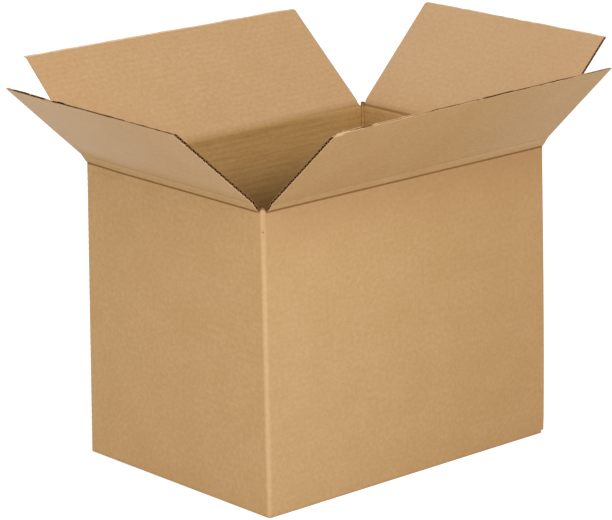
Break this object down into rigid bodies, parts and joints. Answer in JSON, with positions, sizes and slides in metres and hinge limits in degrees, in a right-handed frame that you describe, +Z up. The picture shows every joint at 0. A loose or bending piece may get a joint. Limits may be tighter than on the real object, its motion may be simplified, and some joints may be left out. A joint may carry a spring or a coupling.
{
  "type": "open corrugated shipping box",
  "caption": "Slotted shipping box of single-wall corrugated board, closed underneath, its four hinged top flaps standing open.",
  "frame": {"origin": "on the floor under the middle of the box, at the flat face that it rests on", "axes": "+X along the long walls, towards the right-hand wall; +Y towards the back wall; +Z up"},
  "size_m": [0.67, 0.5668, 0.4759],
  "materials": {
    "board": "matt kraft liner",
    "flap_board": "matt kraft liner with open flutes at the edges"
  },
  "bodies": {
    "box": {"box_body": "board"},
    "front_flap": {"front_flap": "flap_board"},
    "back_flap": {"back_flap": "flap_board"},
    "left_flap": {"left_flap": "flap_board"},
    "right_flap": {"right_flap": "flap_board"}
  },
  "joints": [
    {"name": "front_flap_fold", "type": "hinge", "parent": "box", "child": "front_flap", "pos_m": [0, -0.1622, 0.36195], "axis": [1, 0, 0], "range_deg": [-137.1, 122.9]},
    {"name": "back_flap_fold", "type": "hinge", "parent": "box", "child": "back_flap", "pos_m": [0, 0.1622, 0.36195], "axis": [-1, 0, 0], "range_deg": [-140.2, 119.8]},
    {"name": "left_flap_fold", "type": "hinge", "parent": "box", "child": "left_flap", "pos_m": [-0.2202, 0, 0.35805], "axis": [0, -1, 0], "range_deg": [-136, 124]},
    {"name": "right_flap_fold", "type": "hinge", "parent": "box", "child": "right_flap", "pos_m": [0.2202, 0, 0.35805], "axis": [0, 1, 0], "range_deg": [-134.6, 125.4]}
  ]
}
